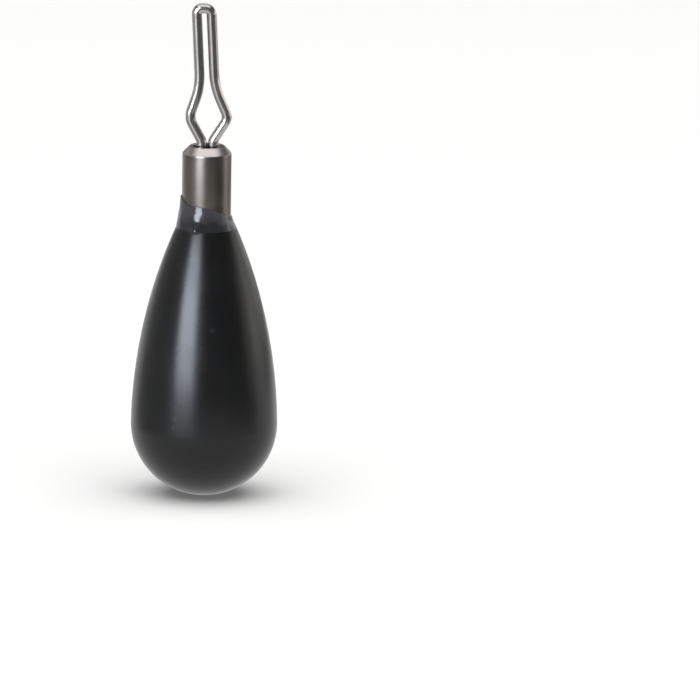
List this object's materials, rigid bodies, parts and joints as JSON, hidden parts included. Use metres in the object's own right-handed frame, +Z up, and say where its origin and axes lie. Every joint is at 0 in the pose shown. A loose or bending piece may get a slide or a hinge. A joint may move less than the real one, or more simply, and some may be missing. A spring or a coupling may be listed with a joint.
{
  "type": "fishing sinker",
  "caption": "Drop-shot fishing sinker: a black lacquered tungsten teardrop that hangs from a small barrel swivel and a bent-wire clip that pinches the line.",
  "frame": {"origin": "the line's seat: the inside top of the clip's slot, on the swivel axis", "axes": "+Z up along the swivel axis, from the weight to the clip; +X across the clip's eye, so the clip lies in the XZ plane; the adhesive climbs higher on the -X side"},
  "size_m": [0.0086, 0.0086, 0.0295],
  "materials": {
    "clip_wire": "polished",
    "bead_brass": "satin",
    "barrel_plating": "gloss",
    "adhesive": "gloss",
    "body_lacquer": "satin"
  },
  "bodies": {
    "clip": {"line_clip": "clip_wire"},
    "bead": {"swivel_bead": "bead_brass"},
    "weight": {"weight_body": "body_lacquer", "glue_collar": "adhesive", "swivel_barrel": "barrel_plating"}
  },
  "joints": [
    {"name": "clip_rock", "type": "hinge", "parent": "clip", "child": "bead", "pos_m": [0, 0, -0.00906], "axis": [1, 0, 0], "range_deg": [-12, 12]},
    {"name": "barrel_swivel", "type": "hinge", "parent": "bead", "child": "weight", "pos_m": [0, 0, -0.00906], "axis": [0, 0, 1], "continuous": true}
  ]
}
